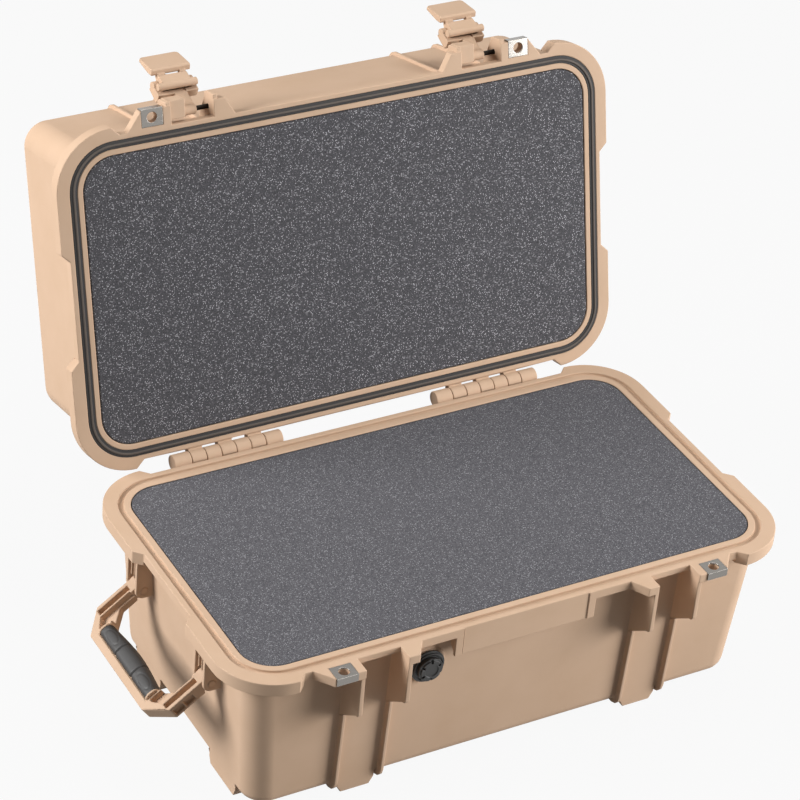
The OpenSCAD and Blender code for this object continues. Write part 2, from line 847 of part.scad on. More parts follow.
module handle_plan() {
    polygon([
        [0, -arm_out], [handle_reach - handle_slope, -arm_out], [handle_reach, -grip_len/2 - 5],
        [handle_reach, grip_len/2 + 5], [handle_reach - handle_slope, arm_out],
        [0, arm_out], [0, arm_in],
        [grip_in - handle_chamfer, arm_in], [grip_in, arm_in - handle_chamfer],
        [grip_in, grip_len/2], [shell_in, grip_len/2], [shell_in, -grip_len/2],
        [grip_in, -grip_len/2], [grip_in, -arm_in + handle_chamfer],
        [grip_in - handle_chamfer, -arm_in], [0, -arm_in]
    ]);
}

module frame_form() {
    difference() {
        union() {
            translate([0, 0, -handle_t/2]) linear_extrude(handle_t) handle_plan();
            translate([0, 0, -handle_low]) linear_extrude(handle_low) difference() {
                handle_plan();
                translate([-handle_reach, -2*arm_out])
                    square([handle_reach + handle_hub_r + 3, 4*arm_out]);
            }
            translate([grip_in + 6, -grip_len/2 - 1, -core_t/2])
                cube([shell_in - grip_in - 5, grip_len + 2, core_t]);
            for (sy = [-1, 1])
                translate([0, sy*bracket_y, 0]) rotate([90, 0, 0])
                    cylinder(r = handle_hub_r, h = hub_w, center = true);
        }
        for (sy = [-1, 1])
            scale([1, sy, 1]) {
                translate([0, bracket_y, 0]) rotate([90, 0, 0])
                    cylinder(r = handle_pin_r + run_fit, h = hub_w + 2, center = true);
                translate([slot_start, bracket_y - slot_w/2, handle_t/2 - slot_t])
                    cube([slot_len, slot_w, slot_t + 1]);
                translate([0, 0, handle_t/2 - step_t]) linear_extrude(step_t + 1)
                    polygon([
                        [handle_hub_r + 3, arm_in - 2*handle_chamfer], [handle_hub_r + 3, rail_y],
                        [handle_reach - handle_slope + 2, rail_y], [shell_in - 3, grip_len/2 + 5],
                        [shell_in - 3, grip_len/2 + 2.5], [grip_in - 2, grip_len/2 + 2.5]
                    ]);
                for (i = [1, 2])
                    translate([
                        handle_reach - handle_slope - i*(cell_len + 1.5),
                        arm_out - 3,
                        -handle_low/2 - cell_h/2 + 2
                    ])
                        cube([cell_len, 4, cell_h]);
            }
    }
}

module grip_ring(y, len, inset) {
    translate([grip_in + (shell_in - grip_in)/2 - 0.05, y, 0]) rotate([90, 0, 0])
        linear_extrude(len, center = true)
            round_rect(shell_in - grip_in - 0.1 - 2*inset, grip_t - 2*inset, 5 - inset);
}

module grip_form() {
    third = (grip_len - 0.2)/3;
    difference() {
        union() {
            for (i = [-1, 0, 1]) grip_ring(i*third, third - 2, 0);
            grip_ring(0, grip_len - 0.2, 1.2);
            for (s = [-1, 1]) grip_ring(s*(third*1.5 - 1), 2, 0);
        }
        translate([grip_in + 5.9, -grip_len, -core_t/2 - 0.1])
            cube([shell_in - grip_in, 2*grip_len, core_t + 0.2]);
    }
}

module handle_frame_left() {
    color(tan_plastic) mirror([1, 0, 0]) at_handle(handle_left_angle) frame_form();
}

module handle_frame_right() {
    color(tan_plastic) at_handle(handle_right_angle) frame_form();
}

module handle_grip_left() {
    color(grip_rubber) mirror([1, 0, 0]) at_handle(handle_left_angle) grip_form();
}

module handle_grip_right() {
    color(grip_rubber) at_handle(handle_right_angle) grip_form();
}

module handle_pins_left() {
    color(bright_metal) at_rim() mirror([1, 0, 0]) handle_pin_form(0);
}

module handle_pins_right() {
    color(bright_metal) at_rim() handle_pin_form(0);
}

module valve_body() {
    color(black_plastic) at_rim() {
        on_front(valve_seat + seal_thick) difference() {
            union() {
                cylinder(r = valve_r, h = valve_ring_t/2);
                cylinder(r = valve_r - 1.6, h = valve_ring_t);
            }
            translate([0, 0, valve_ring_t - 1.2]) difference() {
                cylinder(r = valve_r - 2.6, h = 2);
                cylinder(r = valve_cap_r - 0.6, h = 2);
            }
        }
        on_front(valve_inside - nut_t)
            cylinder(r = valve_stem_r, h = valve_seat + seal_thick + 0.5 - valve_inside + nut_t);
    }
}

module valve_cap() {
    color(black_plastic) at_rim() on_front(valve_seat + seal_thick + valve_ring_t) difference() {
        union() {
            cylinder(r = valve_cap_r, h = valve_cap_t - 1.4);
            cylinder(r = valve_cap_r - 1.5, h = valve_cap_t);
        }
        for (i = [0:5])
            rotate([0, 0, 30 + 60*i])
                translate([valve_cap_r - 4, -1, valve_cap_t - 2]) cube([5, 2, 3]);
        translate([0, 0, valve_cap_t - 0.8]) cylinder(r = valve_cap_r - 5, h = 2);
    }
}

module valve_seal() {
    color(grip_rubber) at_rim() on_front(valve_seat) difference() {
        cylinder(r = valve_r - 2, h = seal_thick);
        translate([0, 0, -1]) cylinder(r = valve_stem_r + set_fit, h = seal_thick + 2);
    }
}

module valve_nut() {
    color(black_plastic) at_rim() on_front(valve_inside - nut_t) difference() {
        cylinder(r = nut_r, h = nut_t, $fn = 6);
        translate([0, 0, -1]) cylinder(r = valve_stem_r + set_fit, h = nut_t + 2);
    }
}

base_shell();
lid_shell();
lid_gasket();
base_foam_pad();
base_foam_lower();
base_foam_upper();
lid_foam();
hinge_pin_left();
hinge_pin_right();
latch_arm_left();
latch_arm_right();
latch_lever_left();
latch_lever_right();
latch_pin_left();
latch_pin_right();
lever_pin_left();
lever_pin_right();
base_guard_left();
base_guard_right();
lid_guard_left();
lid_guard_right();
handle_frame_left();
handle_frame_right();
handle_grip_left();
handle_grip_right();
handle_pins_left();
handle_pins_right();
valve_body();
valve_cap();
valve_seal();
valve_nut();
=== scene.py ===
"""Looks of a hard equipment case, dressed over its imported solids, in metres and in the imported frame."""

import json
import math

import bmesh
import bpy
from bpy.props import FloatProperty, FloatVectorProperty, IntProperty, PointerProperty
from mathutils import Matrix, Vector
from mathutils.geometry import delaunay_2d_cdt


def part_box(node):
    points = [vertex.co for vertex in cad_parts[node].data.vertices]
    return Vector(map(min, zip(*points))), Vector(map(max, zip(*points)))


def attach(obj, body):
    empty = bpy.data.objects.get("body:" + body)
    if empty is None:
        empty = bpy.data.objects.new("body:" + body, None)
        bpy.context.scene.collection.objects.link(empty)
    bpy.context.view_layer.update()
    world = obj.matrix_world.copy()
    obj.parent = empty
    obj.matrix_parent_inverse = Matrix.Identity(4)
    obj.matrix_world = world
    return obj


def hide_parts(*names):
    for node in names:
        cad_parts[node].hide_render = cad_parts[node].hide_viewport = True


bl_info = {
    "name": "Hard equipment case",
    "version": (1, 0, 0),
    "blender": (4, 5, 0),
    "location": "View3D > Sidebar > Case",
    "description": "Moulded shells, foam, seal, latches, handles and valve of a hard equipment case",
    "category": "Object",
}

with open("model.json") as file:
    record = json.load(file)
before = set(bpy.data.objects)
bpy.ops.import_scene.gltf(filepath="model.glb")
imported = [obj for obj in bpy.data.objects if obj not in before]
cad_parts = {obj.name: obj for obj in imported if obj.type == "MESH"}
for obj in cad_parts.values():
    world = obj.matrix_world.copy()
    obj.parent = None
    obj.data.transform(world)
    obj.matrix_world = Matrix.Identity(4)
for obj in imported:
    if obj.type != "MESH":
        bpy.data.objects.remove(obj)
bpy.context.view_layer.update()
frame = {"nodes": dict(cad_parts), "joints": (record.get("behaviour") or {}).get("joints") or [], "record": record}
JOINTS = {joint["name"]: joint for joint in frame["joints"]}
BODY_OF = {node: body for body, nodes in frame["record"]["behaviour"]["bodies"].items() for node in nodes}
SLOT_OF = {row["node"]: row["material_slot"] for row in frame["record"]["subparts"]}

MM = 0.001
SIDES = ("left", "right")
# Out of the mouth of the lid, which stands fully open at rest
LID_OUT = Matrix.Rotation(-math.radians(JOINTS["lid_hinge"]["range_deg"][1]), 3, "X") @ Vector((0, 0, -1))

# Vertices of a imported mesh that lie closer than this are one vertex
MERGE = 0.002 * MM
# Facets that turn less than this are one face
FLAT_TURN = math.radians(0.6)
# Edges that turn more than this are rounded
SHARP_TURN = math.radians(32)
# Edges of a finished piece that turn more than this are shaded as creases
CREASE_TURN = math.radians(42)
# Area by which a folded face shows
FOLD = 0.3 * MM * MM
# A folded face is filled again inside its outline, with points in millimetres and this close taken as one
FILL_INSIDE = 1
FILL_CLOSE = 0.0001

# Sockets of a Mix node that mixes colours, by index because its kinds share their names
MIX_SHARE = 0
MIX_FROM = 6
MIX_TO = 7
MIX_RESULT = 2
# Noise seldom leaves this band, over which a roughness is spread
NOISE_LOW = 0.3
NOISE_HIGH = 0.7


def linear(code):
    """Linear RGB of an sRGB hex colour such as #C8A98A."""
    parts = [int(code[i : i + 2], 16) / 255 for i in (1, 3, 5)]
    return tuple(c / 12.92 if c <= 0.04045 else ((c + 0.055) / 1.055) ** 2.4 for c in parts)


def colour(code, name, description):
    """A colour property with its default written as sRGB hex."""
    return FloatVectorProperty(
        name=name, description=description, subtype="COLOR", size=3, min=0, max=1, default=linear(code)
    )


def length(default_mm, name, description):
    """A length property with its default in millimetres."""
    return FloatProperty(
        name=name, description=description, default=default_mm * MM, min=0, unit="LENGTH", precision=5
    )


def power(default_watts, name, description):
    """A lamp's power property."""
    return FloatProperty(name=name, description=description, default=default_watts, min=0, unit="POWER")


class CaseFinish(bpy.types.PropertyGroup):
    """Colours and grains of the case's materials."""

    tan: colour("#C9AC93", "Tan", "Moulded polypropylene of the shells, latches and handles")
    tan_deep: colour("#BD9F84", "Deep tan", "The darker tone of the moulding's faint mottling")
    foam: colour("#363539", "Foam", "Ground tone of the cut foam")
    foam_cell: colour("#6B6A6E", "Foam cells", "Lighter walls of the open cells")
    foam_speck: colour("#B8B7BB", "Foam specks", "Cell walls that face the light")
    seal: colour("#15100E", "Seal", "Black rubber of the seal")
    # The crest's colour is a painted highlight: a lighter line along the top of the seal's bead
    seal_painted_crest: colour("#4E443C", "Painted seal crest", "Painted highlight along the crest of the seal's bead")
    grip: colour("#2A2827", "Grip", "Soft rubber of the grips")
    black: colour("#252423", "Black", "Black plastic of the valve")
    steel: colour("#8F8B86", "Stainless steel", "Stamped guard plates")
    pin_steel: colour("#1F1B18", "Pin steel", "Oiled pins")
    mottling: length(38, "Mottling", "Spacing of the faint mottling on the shells")
    moulding_grain: length(0.9, "Moulding grain", "Spacing of the spark-eroded grain on the shells")
    foam_grain: length(1.0, "Foam grain", "Spacing of the foam's cells")
    bloom: length(9, "Bloom", "Spacing of the dull bloom on black rubber and plastic")


class CaseSizes(bpy.types.PropertyGroup):
    """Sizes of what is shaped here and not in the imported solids."""

    shell_round: length(0.8, "Shell edge", "Radius of the shells' moulded edges")
    latch_round: length(0.6, "Latch edge", "Radius of the latches' moulded edges")
    handle_round: length(0.9, "Handle edge", "Radius of the handle frames' edges")
    guard_round: length(0.35, "Guard edge", "Radius of the guard plates' edges")
    valve_round: length(0.3, "Valve edge", "Radius of the valve's edges")
    seal_round: length(0.6, "Seal edge", "Radius of the seal's bead and edges")
    # Depth of the band along the bead's top that is painted with the highlight colour
    seal_painted_crest: length(0.35, "Painted seal crest", "Depth of the band along the bead's crest that is painted as a highlight")
    foam_round: length(1.6, "Foam edge", "Softness of the foam's cut edges")
    foam_crown: length(0.4, "Foam crown", "How far the foam swells at its middle")
    grip_swell: length(3.6, "Grip swell", "How far the grip swells toward the palm")
    grip_groove: length(1.2, "Grip groove", "Depth of the two grooves round the grip")
    grip_oval: length(0.35, "Grip ovals", "Depth of the moulded oval lines")
    collar_round: length(1.1, "Collar", "Radius of the ring at each end of a grip")
    edge_steps: IntProperty(
        name="Edge steps", description="Faces across a rounded edge", default=3, min=1, max=6
    )


class CaseStage(bpy.types.PropertyGroup):
    """Camera, lamps and floor."""

    camera_place: FloatVectorProperty(
        name="Camera", description="Place of the camera", subtype="XYZ", unit="LENGTH",
        default=(-1.1136, -1.7262, 1.6638),
    )
    camera_ahead: FloatVectorProperty(
        name="View", description="Direction the camera looks in", subtype="DIRECTION",
        default=(0.433, 0.7036, -0.5635),
    )
    camera_up: FloatVectorProperty(
        name="Up", description="Direction that is up in the picture", subtype="DIRECTION",
        default=(0.2127, 0.527, 0.8227),
    )
    lens: FloatProperty(
        name="Lens", description="Focal length in millimetres", default=138.3, min=10, unit="CAMERA"
    )
    ambient: FloatProperty(name="Ambient", description="Even light from all round", default=0.06, min=0)
    left_power: power(90, "Left lamp", "Power of the left soft box")
    top_power: power(27, "Top lamp", "Power of the top soft box")
    front_power: power(72, "Front lamp", "Power of the right front lamp")


def add(tree, kind, values=None, links=None):
    """Adds one node: values sets its properties or inputs, links feeds its inputs from other outputs."""
    node = tree.nodes.new(kind)
    for key, value in (values or {}).items():
        if isinstance(key, str) and hasattr(node, key):
            setattr(node, key, value)
        else:
            node.inputs[key].default_value = value
    for key, output in (links or {}).items():
        tree.links.new(output, node.inputs[key])
    return node


def material(name):
    """The material of that name, with its empty node tree, or with None where it was made before."""
    found = bpy.data.materials.get(name)
    if found:
        return found, None
    made = bpy.data.materials.new(name)
    made.use_nodes = True
    made.node_tree.nodes.clear()
    return made, made.node_tree


def tan_polypropylene():
    """Polypropylene from a spark-eroded mould: a dull, even skin with a fine grain and a faint mottling."""
    made, tree = material("Moulded polypropylene, tan")
    if tree is None:
        return made
    finish = bpy.context.scene.case_finish
    place = add(tree, "ShaderNodeTexCoord").outputs["Object"]
    mottle = add(
        tree, "ShaderNodeTexNoise", {"Scale": 1 / finish.mottling, "Detail": 4, "Roughness": 0.55},
        {"Vector": place},
    )
    # The real grain is too fine to show in the render, so it is drawn coarser
    grain = add(
        tree, "ShaderNodeTexNoise", {"Scale": 1 / finish.moulding_grain, "Detail": 3, "Roughness": 0.6},
        {"Vector": place},
    )
    tone = add(
        tree, "ShaderNodeMix",
        {"data_type": "RGBA", MIX_FROM: (*finish.tan_deep, 1), MIX_TO: (*finish.tan, 1)},
        {MIX_SHARE: mottle.outputs["Fac"]},
    )
    gloss = add(
        tree, "ShaderNodeMapRange",
        {"From Min": NOISE_LOW, "From Max": NOISE_HIGH, "To Min": 0.64, "To Max": 0.76},
        {"Value": grain.outputs["Fac"]},
    )
    relief = add(
        tree, "ShaderNodeBump", {"Strength": 0.35, "Distance": 0.06 * MM}, {"Height": grain.outputs["Fac"]}
    )
    surface = add(
        tree, "ShaderNodeBsdfPrincipled", {"IOR": 1.49, "Specular IOR Level": 0.3},
        {
            "Base Color": tone.outputs[MIX_RESULT],
            "Roughness": gloss.outputs["Result"],
            "Normal": relief.outputs["Normal"],
        },
    )
    add(tree, "ShaderNodeOutputMaterial", None, {"Surface": surface.outputs["BSDF"]})
    return made


def cut_foam(name, ground_share, speck_share):
    """Charcoal polyurethane foam: open cells whose cut walls catch the light as pale specks.

    ground_share and speck_share dim or brighten the tones of the ground and of the specks.
    """
    made, tree = material(name)
    if tree is None:
        return made
    finish = bpy.context.scene.case_finish
    deep = [ground_share * c for c in finish.foam]
    wall = [ground_share * c for c in finish.foam_cell]
    pale = [speck_share * c for c in finish.foam_speck]
    wall_spacing = 0.8 * finish.foam_grain
    place = add(tree, "ShaderNodeTexCoord").outputs["Object"]
    # The real cells are too fine to show in the render, so they are drawn coarser
    cells = add(
        tree, "ShaderNodeTexVoronoi", {"Scale": 1 / finish.foam_grain, "Randomness": 1}, {"Vector": place}
    )
    clouds = add(
        tree, "ShaderNodeTexNoise", {"Scale": 1 / wall_spacing, "Detail": 3, "Roughness": 0.7},
        {"Vector": place},
    )
    walls = add(
        tree, "ShaderNodeMapRange", {"From Min": 0.32, "From Max": 0.68}, {"Value": clouds.outputs["Fac"]}
    )
    ground = add(
        tree, "ShaderNodeMix", {"data_type": "RGBA", MIX_FROM: (*deep, 1), MIX_TO: (*wall, 1)},
        {MIX_SHARE: walls.outputs["Result"]},
    )
    # Each cell draws its own chance, and about a third of the cells show a speck
    chance = add(tree, "ShaderNodeSeparateColor", None, {"Color": cells.outputs["Color"]})
    picked = add(
        tree, "ShaderNodeMapRange", {"From Min": 0.62, "From Max": 0.96}, {"Value": chance.outputs["Red"]}
    )
    # A speck fades from its cell's middle outwards
    spot = add(
        tree, "ShaderNodeMapRange", {"From Min": 0.54, "From Max": 0.16},
        {"Value": cells.outputs["Distance"]},
    )
    speck = add(
        tree, "ShaderNodeMath", {"operation": "MULTIPLY"},
        {0: picked.outputs["Result"], 1: spot.outputs["Result"]},
    )
    tone = add(
        tree, "ShaderNodeMix", {"data_type": "RGBA", MIX_TO: (*pale, 1)},
        {MIX_SHARE: speck.outputs["Value"], MIX_FROM: ground.outputs[MIX_RESULT]},
    )
    relief = add(
        tree, "ShaderNodeBump", {"Strength": 0.6, "Distance": 0.25 * MM}, {"Height": clouds.outputs["Fac"]}
    )
    surface = add(
        tree, "ShaderNodeBsdfPrincipled", {"Roughness": 0.95, "IOR": 1.45, "Specular IOR Level": 0.25},
        {"Base Color": tone.outputs[MIX_RESULT], "Normal": relief.outputs["Normal"]},
    )
    add(tree, "ShaderNodeOutputMaterial", None, {"Surface": surface.outputs["BSDF"]})
    return made


def black_polymer(name, tone, roughness, grain_mm):
    """Black rubber or plastic, extruded or moulded: a soft low sheen over a faint bloom."""
    made, tree = material(name)
    if tree is None:
        return made
    bloom_share = 0.8
    deep = [bloom_share * c for c in tone]
    spread = 0.06
    place = add(tree, "ShaderNodeTexCoord").outputs["Object"]
    bloom = add(
        tree, "ShaderNodeTexNoise", {"Scale": 1 / bpy.context.scene.case_finish.bloom, "Detail": 3},
        {"Vector": place},
    )
    # The real grain is too fine to show in the render, so it is drawn coarser
    grain = add(tree, "ShaderNodeTexNoise", {"Scale": 1 / (grain_mm * MM), "Detail": 2}, {"Vector": place})
    mixed = add(
        tree, "ShaderNodeMix", {"data_type": "RGBA", MIX_FROM: (*deep, 1), MIX_TO: (*tone, 1)},
        {MIX_SHARE: bloom.outputs["Fac"]},
    )
    gloss = add(
        tree, "ShaderNodeMapRange",
        {
            "From Min": NOISE_LOW,
            "From Max": NOISE_HIGH,
            "To Min": roughness - spread,
            "To Max": roughness + spread,
        },
        {"Value": grain.outputs["Fac"]},
    )
    relief = add(
        tree, "ShaderNodeBump", {"Strength": 0.25, "Distance": 0.05 * MM}, {"Height": grain.outputs["Fac"]}
    )
    surface = add(
        tree, "ShaderNodeBsdfPrincipled", {"IOR": 1.52},
        {
            "Base Color": mixed.outputs[MIX_RESULT],
            "Roughness": gloss.outputs["Result"],
            "Normal": relief.outputs["Normal"],
        },
    )
    add(tree, "ShaderNodeOutputMaterial", None, {"Surface": surface.outputs["BSDF"]})
    return made


def brushed_steel(name, tone, roughness, line_mm):
    """Steel, brushed along its length: long fine scratches that spread the reflections."""
    made, tree = material(name)
    if tree is None:
        return made
    # A scratch is this many times as long as it is wide
    run = 25
    spread = 0.08
    place = add(tree, "ShaderNodeTexCoord").outputs["Object"]
    along = add(tree, "ShaderNodeMapping", {"Scale": (1 / run, 1, 1)}, {"Vector": place})
    # The real scratches are too fine to show in the render, so they are drawn coarser
    lines = add(
        tree, "ShaderNodeTexNoise", {"Scale": 1 / (line_mm * MM), "Detail": 3, "Roughness": 0.6},
        {"Vector": along.outputs["Vector"]},
    )
    gloss = add(
        tree, "ShaderNodeMapRange",
        {
            "From Min": NOISE_LOW,
            "From Max": NOISE_HIGH,
            "To Min": roughness - spread,
            "To Max": roughness + spread,
        },
        {"Value": lines.outputs["Fac"]},
    )
    relief = add(
        tree, "ShaderNodeBump", {"Strength": 0.08, "Distance": 0.004 * MM}, {"Height": lines.outputs["Fac"]}
    )
    surface = add(
        tree, "ShaderNodeBsdfPrincipled", {"Base Color": (*tone, 1), "Metallic": 1.0},
        {"Roughness": gloss.outputs["Result"], "Normal": relief.outputs["Normal"]},
    )
    add(tree, "ShaderNodeOutputMaterial", None, {"Surface": surface.outputs["BSDF"]})
    return made


def sliced_foam():
    """Foam layers sliced from a block: an even charcoal with soft specks."""
    return cut_foam("Polyurethane foam, sliced", 1.0, 0.85)


def skived_foam():
    """Foam skived across its cells: a deeper ground with brighter specks."""
    return cut_foam("Polyurethane foam, skived", 0.78, 1.5)


def seal_rubber():
    """EPDM from an extruder's die: a dull black."""
    return black_polymer("EPDM rubber, extruded", bpy.context.scene.case_finish.seal, 0.7, 0.7)


def crest_painted_highlight():
    """EPDM of the bead's crest in a lighter tone, a painted highlight where the crest catches the light: a pale
    line along the bead.
    """
    return black_polymer("EPDM rubber, worn", bpy.context.scene.case_finish.seal_painted_crest, 0.65, 0.7)


def grip_rubber():
    """Thermoplastic rubber moulded over a bar: a satin black."""
    return black_polymer("Thermoplastic rubber, overmoulded", bpy.context.scene.case_finish.grip, 0.55, 0.8)


def black_nylon():
    """Nylon from a smooth mould: black with a clearer sheen than the rubbers."""
    return black_polymer("Nylon, black, moulded", bpy.context.scene.case_finish.black, 0.42, 0.6)


def guard_steel():
    """Stainless sheet, stamped and brushed: bright, with reflections drawn out along its length."""
    return brushed_steel("Stainless steel, stamped", bpy.context.scene.case_finish.steel, 0.2, 0.35)


def pin_steel():
    """Steel rod under oil: nearly black, with a broad sheen."""
    return brushed_steel("Steel, oiled", bpy.context.scene.case_finish.pin_steel, 0.42, 0.5)


def dress(node, finish):
    """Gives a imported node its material."""
    for slot in frame["nodes"][node].material_slots:
        slot.link = "OBJECT"
        slot.material = finish


def put(name, bm, finish, body, slot, *nodes):
    """Turns a bmesh into a piece that rides on a body and stands for nodes."""
    mesh = bpy.data.meshes.new(name)
    bm.to_mesh(mesh)
    bm.free()
    mesh.materials.append(finish)
    mesh.shade_smooth()
    mesh.set_sharp_from_angle(angle=CREASE_TURN)
    piece = bpy.data.objects.new(name, mesh)
    bpy.context.scene.collection.objects.link(piece)
    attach(piece, body)
    if nodes:
        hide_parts(*nodes)
    return piece


def merged(node):
    """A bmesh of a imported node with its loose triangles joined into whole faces."""
    bm = bmesh.new()
    bm.from_mesh(frame["nodes"][node].data)
    bmesh.ops.remove_doubles(bm, verts=bm.verts, dist=MERGE)
    bmesh.ops.dissolve_limit(bm, angle_limit=FLAT_TURN, verts=bm.verts, edges=bm.edges)
    for face in bm.faces:
        face.material_index = 0
    return bm


def rounded(bm, radius, steps):
    """Rounds every sharp edge."""
    sharp = [e for e in bm.edges if e.is_manifold and e.calc_face_angle(0) > SHARP_TURN]
    bmesh.ops.bevel(
        bm, geom=sharp, offset=radius, offset_type="OFFSET", segments=steps, profile=0.5, affect="EDGES",
        clamp_overlap=False, material=-1,
    )
    mend(bm)


def mend(bm):
    """Fills again each face that a rounded edge folds over itself at a narrow place."""
    bm.normal_update()
    filled = {}
    for loops in bm.calc_loop_triangles():
        a, b, c = (loop.vert.co for loop in loops)
        filled[loops[0].face] = filled.get(loops[0].face, 0) + (b - a).cross(c - a).length / 2
    folded = [f for f, area in filled.items() if len(f.verts) > 4 and area - f.calc_area() > FOLD]
    for face in folded:
        corners = list(face.verts)
        start, normal = corners[0].co.copy(), face.normal.copy()
        along = normal.orthogonal().normalized()
        across = normal.cross(along)
        flat = [Vector((along.dot(v.co - start), across.dot(v.co - start))) / MM for v in corners]
        outline = list(range(len(flat)))
        places, _, triangles, sources, _, _ = delaunay_2d_cdt(flat, [], [outline], FILL_INSIDE, FILL_CLOSE)
        fill = [
            corners[source[0]] if source else bm.verts.new(start + (along * at.x + across * at.y) * MM)
            for at, source in zip(places, sources)
        ]
        bm.faces.remove(face)
        for triangle in triangles:
            bm.faces.new([fill[i] for i in triangle])


def even_shading(piece):
    """Keeps the wide faces flat beside their rounded edges."""
    weighted = piece.modifiers.new("Even shading", "WEIGHTED_NORMAL")
    weighted.keep_sharp = True


def moulding(node, radius, finish, name=None):
    """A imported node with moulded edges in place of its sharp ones."""
    bm = merged(node)
    rounded(bm, radius, bpy.context.scene.case_sizes.edge_steps)
    piece = put(name or node + "_moulding", bm, finish, BODY_OF[node], SLOT_OF[node], node)
    even_shading(piece)
    return piece


class CASE_OT_shells(bpy.types.Operator):
    """Make the base and the lid"""

    bl_idname = "case.shells"
    bl_label = "Shells"

    def execute(self, context):
        for node in ("base_shell", "lid_shell"):
            moulding(node, context.scene.case_sizes.shell_round, tan_polypropylene())
        return {"FINISHED"}


class CASE_OT_foam(bpy.types.Operator):
    """Make the foam layers in the base and the block in the lid"""

    bl_idname = "case.foam"
    bl_label = "Foam"

    # Spacing of the cuts that let a block's face swell
    pitch = 24 * MM
    # Vertices this near a block's top belong to that face
    face_depth = 0.02 * MM

    def block(self, node, up, finish):
        """A foam block with soft edges, whose face toward up swells a little at its middle."""
        sizes = bpy.context.scene.case_sizes
        bm = merged(node)
        rounded(bm, sizes.foam_round, sizes.edge_steps)
        low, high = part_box(node)
        middle = (low + high) / 2
        side = Vector((1, 0, 0))
        across = up.cross(side)
        for line in (side, across):
            reach = max(abs(line.dot(corner - middle)) for corner in (low, high))
            for i in range(-int(reach / self.pitch), int(reach / self.pitch) + 1):
                bmesh.ops.bisect_plane(
                    bm, geom=[*bm.verts, *bm.edges, *bm.faces], dist=MERGE,
                    plane_co=middle + line * i * self.pitch, plane_no=line,
                )
        top = max(up.dot(v.co) for v in bm.verts)
        face = [v for v in bm.verts if top - up.dot(v.co) < self.face_depth]
        spans = [max(abs(line.dot(v.co - middle)) for v in face) for line in (side, across)]
        for v in face:
            share = 1.0
            for line, span in zip((side, across), spans):
                share *= 1 - (line.dot(v.co - middle) / span) ** 2
            v.co += up * sizes.foam_crown * share
        piece = put(node + "_block", bm, finish, BODY_OF[node], SLOT_OF[node], node)
        even_shading(piece)

    def execute(self, context):
        for node in ("base_foam_pad", "base_foam_lower", "base_foam_upper"):
            self.block(node, Vector((0, 0, 1)), sliced_foam())
        self.block("lid_foam", LID_OUT, skived_foam())
        return {"FINISHED"}


class CASE_OT_seal(bpy.types.Operator):
    """Make the seal in the lid's rim"""

    bl_idname = "case.seal"
    bl_label = "Seal"

    def execute(self, context):
        sizes = context.scene.case_sizes
        mesh = moulding("lid_gasket", sizes.seal_round, seal_rubber(), "lid_gasket_bead").data
        # Faces lying wholly within that depth of the bead's top take the lighter rubber, a painted highlight along
        # the crest
        mesh.materials.append(crest_painted_highlight())
        heights = [v.co.dot(LID_OUT) for v in mesh.vertices]
        crest = max(heights) - sizes.seal_painted_crest
        for face in mesh.polygons:
            face.material_index = int(min(heights[i] for i in face.vertices) > crest)
        return {"FINISHED"}


class CASE_OT_hinges(bpy.types.Operator):
    """Finish the hinge pins"""

    bl_idname = "case.hinges"
    bl_label = "Hinge pins"

    def execute(self, context):
        for side in SIDES:
            dress("hinge_pin_" + side, pin_steel())
        return {"FINISHED"}


class CASE_OT_latches(bpy.types.Operator):
    """Make the latch arms and levers and finish their pins"""

    bl_idname = "case.latches"
    bl_label = "Latches"

    def execute(self, context):
        radius = context.scene.case_sizes.latch_round
        for side in SIDES:
            moulding("latch_arm_" + side, radius, tan_polypropylene())
            moulding("latch_lever_" + side, radius, tan_polypropylene())
            dress("latch_pin_" + side, pin_steel())
            dress("lever_pin_" + side, pin_steel())
        return {"FINISHED"}


class CASE_OT_guards(bpy.types.Operator):
    """Make the padlock guard plates"""

    bl_idname = "case.guards"
    bl_label = "Padlock guards"

    def execute(self, context):
        radius = context.scene.case_sizes.guard_round
        for side in SIDES:
            for shell in ("base", "lid"):
                moulding(f"{shell}_guard_{side}", radius, guard_steel(), f"{shell}_guard_plate_{side}")
        return {"FINISHED"}


